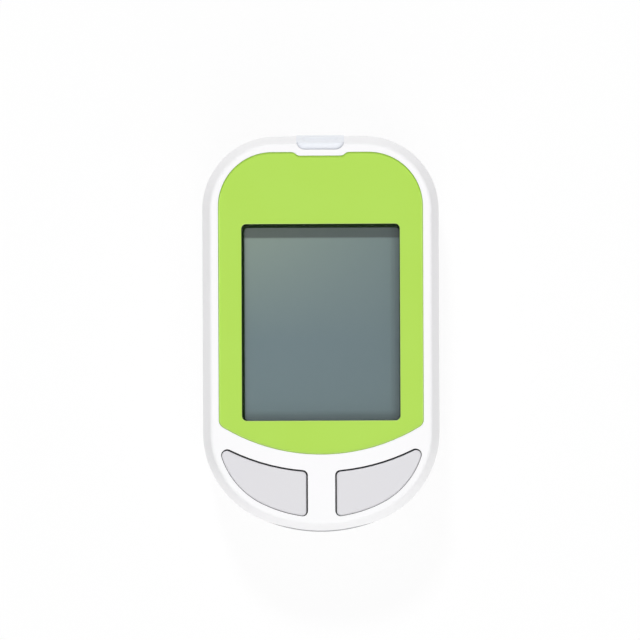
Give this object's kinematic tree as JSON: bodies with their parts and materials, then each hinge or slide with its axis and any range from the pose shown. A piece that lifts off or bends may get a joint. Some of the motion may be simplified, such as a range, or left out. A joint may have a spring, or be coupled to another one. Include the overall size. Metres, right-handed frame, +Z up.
{
  "type": "blood glucose meter",
  "caption": "Hand-held blood glucose meter with a large display window, two fin-shaped buttons, a test strip port at the top end and a hinged battery door at the back.",
  "frame": {"origin": "on the resting plane, under the middle of the body", "axes": "+Z up out of the display, +Y along the body to the strip port, +X to the right seen from above"},
  "size_m": [0.058, 0.0972, 0.0205],
  "materials": {
    "case": "white moulded plastic, satin gloss",
    "faceplate": "lime green moulded plastic, satin",
    "lens": "clear acrylic",
    "foam": "black closed-cell foam",
    "buttons": "pale grey moulded plastic, matte",
    "port": "pale blue-grey moulded plastic",
    "board": "green solder mask on glass-fibre board",
    "display_glass": "clear display glass",
    "polarizer": "grey-green polarizing film",
    "reflector": "silver-grey reflective film",
    "holder": "off-white moulded plastic",
    "zebra": "dark silicone elastomer",
    "connector": "black moulded plastic",
    "gold": "gold-plated spring bronze",
    "switch_body": "black moulded plastic",
    "switch_steel": "pressed steel",
    "plunger": "off-white moulded plastic",
    "chips": "black moulded epoxy",
    "tin": "tinned leads",
    "crystal": "drawn metal can",
    "buzzer": "black moulded plastic",
    "capacitors": "tan ceramic",
    "resistors": "black-topped ceramic",
    "cells": "nickel-plated can",
    "jackets": "shrunk plastic sleeve, dark blue-grey",
    "spring_steel": "nickel-plated spring steel",
    "screws": "zinc-plated steel",
    "feet": "grey rubber",
    "label": "blank pale film"
  },
  "bodies": {
    "case": {"front_cover": "case", "rear_cover": "case", "faceplate": "faceplate", "display_lens": "lens", "display_gasket": "foam", "strip_port": "port", "main_board": "board", "lcd_front_glass": "display_glass", "lcd_rear_glass": "display_glass", "lcd_polarizer": "polarizer", "lcd_reflector": "reflector", "display_holder": "holder", "zebra_strip": "zebra", "strip_connector": "connector", "strip_contacts": "gold", "switch_bases": "switch_body", "switch_covers": "switch_steel", "microcontroller": "chips", "sensor_chip": "chips", "memory_chip": "chips", "chip_leads": "tin", "crystal": "crystal", "buzzer": "buzzer", "board_capacitors": "capacitors", "board_resistors": "resistors", "battery_cells": "cells", "battery_jackets": "jackets", "negative_contact": "spring_steel", "positive_contact": "spring_steel", "bridge_contact": "spring_steel", "cover_screws": "screws", "board_screws": "screws", "rubber_feet": "feet", "rating_label": "label"},
    "left_button": {"left_button": "buttons", "left_plunger": "plunger"},
    "right_button": {"right_button": "buttons", "right_plunger": "plunger"},
    "battery_door": {"battery_door": "case"}
  },
  "joints": [
    {"name": "left_button_press", "type": "slide", "parent": "case", "child": "left_button", "axis": [0, 0, -1], "range_m": [0, 0.0005], "stiffness_N_per_m": 600, "springref_m": -0.002},
    {"name": "right_button_press", "type": "slide", "parent": "case", "child": "right_button", "axis": [0, 0, -1], "range_m": [0, 0.0005], "stiffness_N_per_m": 600, "springref_m": -0.002},
    {"name": "battery_door_hinge", "type": "hinge", "parent": "case", "child": "battery_door", "pos_m": [0, 0.0259, 0.0013], "axis": [1, 0, 0], "range_deg": [0, 45]}
  ]
}
